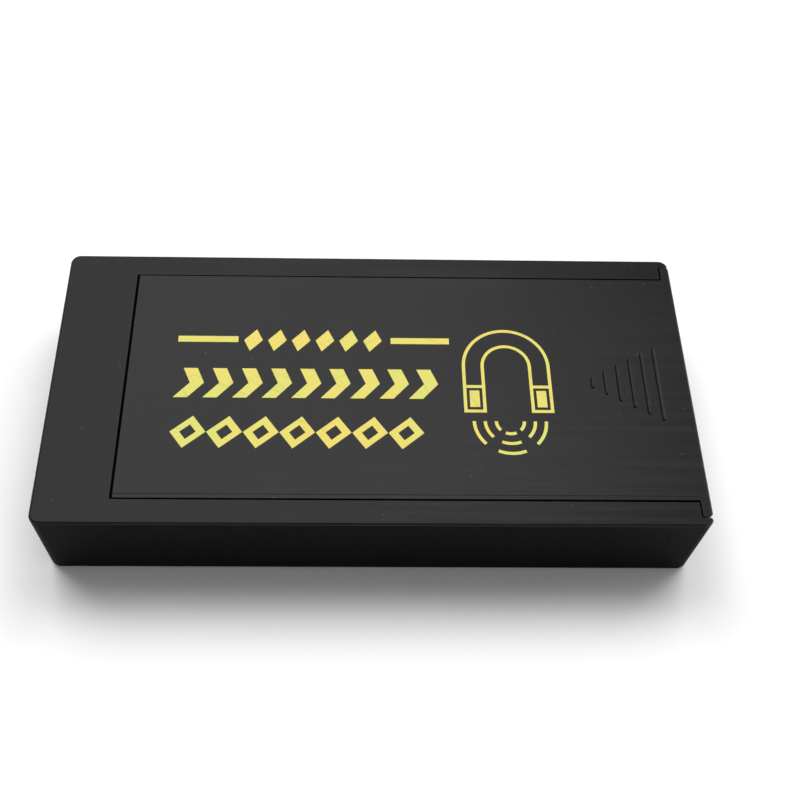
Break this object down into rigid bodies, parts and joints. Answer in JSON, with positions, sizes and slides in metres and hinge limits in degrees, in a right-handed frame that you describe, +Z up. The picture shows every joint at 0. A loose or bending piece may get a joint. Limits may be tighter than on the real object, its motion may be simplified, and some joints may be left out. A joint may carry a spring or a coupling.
{
  "type": "magnetic key box",
  "caption": "Shallow oblong key box of glossy black plastic, with a lid that slides out at one end and block magnets set in the underside.",
  "frame": {"origin": "centre of the closed box on the plane of the magnet faces", "axes": "+X along the length, the way the lid slides out; +Y across the width; +Z up, out of the lid"},
  "size_m": [0.098, 0.048, 0.0163],
  "materials": {
    "case_plastic": "glossy moulded black",
    "lid_plastic": "glossy moulded black",
    "ferrite": "ground sintered ferrite",
    "steel": "zinc plated sheet",
    "glue": "cured adhesive"
  },
  "bodies": {
    "case": {"case_body": "case_plastic", "left_magnet": "ferrite", "right_magnet": "ferrite", "left_backing_plate": "steel", "right_backing_plate": "steel", "left_glue_bed": "glue", "right_glue_bed": "glue"},
    "lid": {"sliding_lid": "lid_plastic"}
  },
  "joints": [
    {"name": "lid_slide", "type": "slide", "parent": "case", "child": "lid", "axis": [1, 0, 0], "range_m": [0, 0.0905]}
  ]
}
